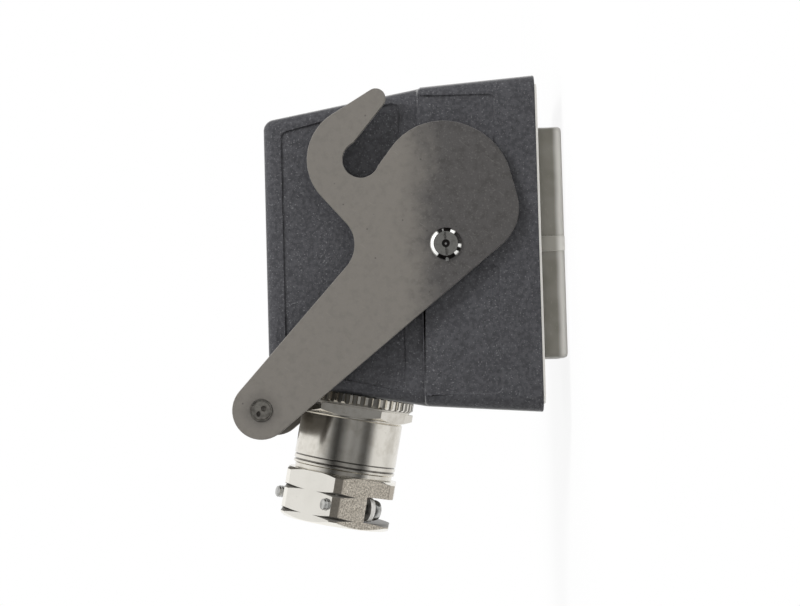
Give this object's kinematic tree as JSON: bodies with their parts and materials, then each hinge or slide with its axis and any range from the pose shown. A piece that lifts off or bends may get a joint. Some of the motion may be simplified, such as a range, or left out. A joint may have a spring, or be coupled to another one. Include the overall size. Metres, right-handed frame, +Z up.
{
  "type": "heavy duty rectangular connector hood",
  "caption": "Angled-entry metal hood of a heavy duty rectangular connector with male insert, two-plate locking lever and strain-relief cable gland.",
  "frame": {"origin": "centre of the hood's rim plane, where it meets the mating housing", "axes": "+Z up through the hood's back, the mouth looks down -Z; +X along the length, away from the cable gland; Y across, one lever plate on each side"},
  "size_m": [0.1265, 0.0496, 0.0928],
  "materials": {
    "hood_paint": "speckled dark grey powder coat",
    "stainless": "fine matt blasted steel",
    "pin_steel": "turned and bright",
    "rivet_steel": "staked end",
    "insert_plastic": "light grey green moulding",
    "contact_metal": "silver plated",
    "zinc_steel": "zinc plated",
    "seal_rubber": "black",
    "nickel": "bright nickel plate over brass",
    "plain_brass": "plain"
  },
  "bodies": {
    "housing": {"hood": "hood_paint", "pivot_pins": "pin_steel", "insert_body": "insert_plastic", "contact_pins": "contact_metal", "terminal_screws": "zinc_steel", "earth_terminals": "plain_brass", "earth_screws": "zinc_steel", "insert_screws": "zinc_steel", "port_seal": "seal_rubber", "knurled_ring": "nickel", "gland_body": "nickel", "cable_seal": "seal_rubber", "pressure_ring": "plain_brass"},
    "lever": {"lever_plate_front": "stainless", "lever_plate_back": "stainless", "lever_grip": "stainless", "grip_rivet": "rivet_steel"},
    "nut": {"clamp_nut": "nickel", "clamp_screws": "zinc_steel", "clamp_washers": "zinc_steel"},
    "saddle": {"clamp_saddle": "nickel"}
  },
  "joints": [
    {"name": "lever_hinge", "type": "hinge", "parent": "housing", "child": "lever", "pos_m": [0, 0, 0.0264], "axis": [0, 1, 0], "range_deg": [0, 133]},
    {"name": "nut_turn", "type": "hinge", "parent": "housing", "child": "nut", "pos_m": [-0.04068, 0, 0.0531], "axis": [-0.982, 0, 0.1891], "range_deg": [0, 360]},
    {"name": "saddle_slide", "type": "slide", "parent": "nut", "child": "saddle", "axis": [-0.1638, 0.5, -0.8504], "range_m": [0, 0.002]}
  ]
}
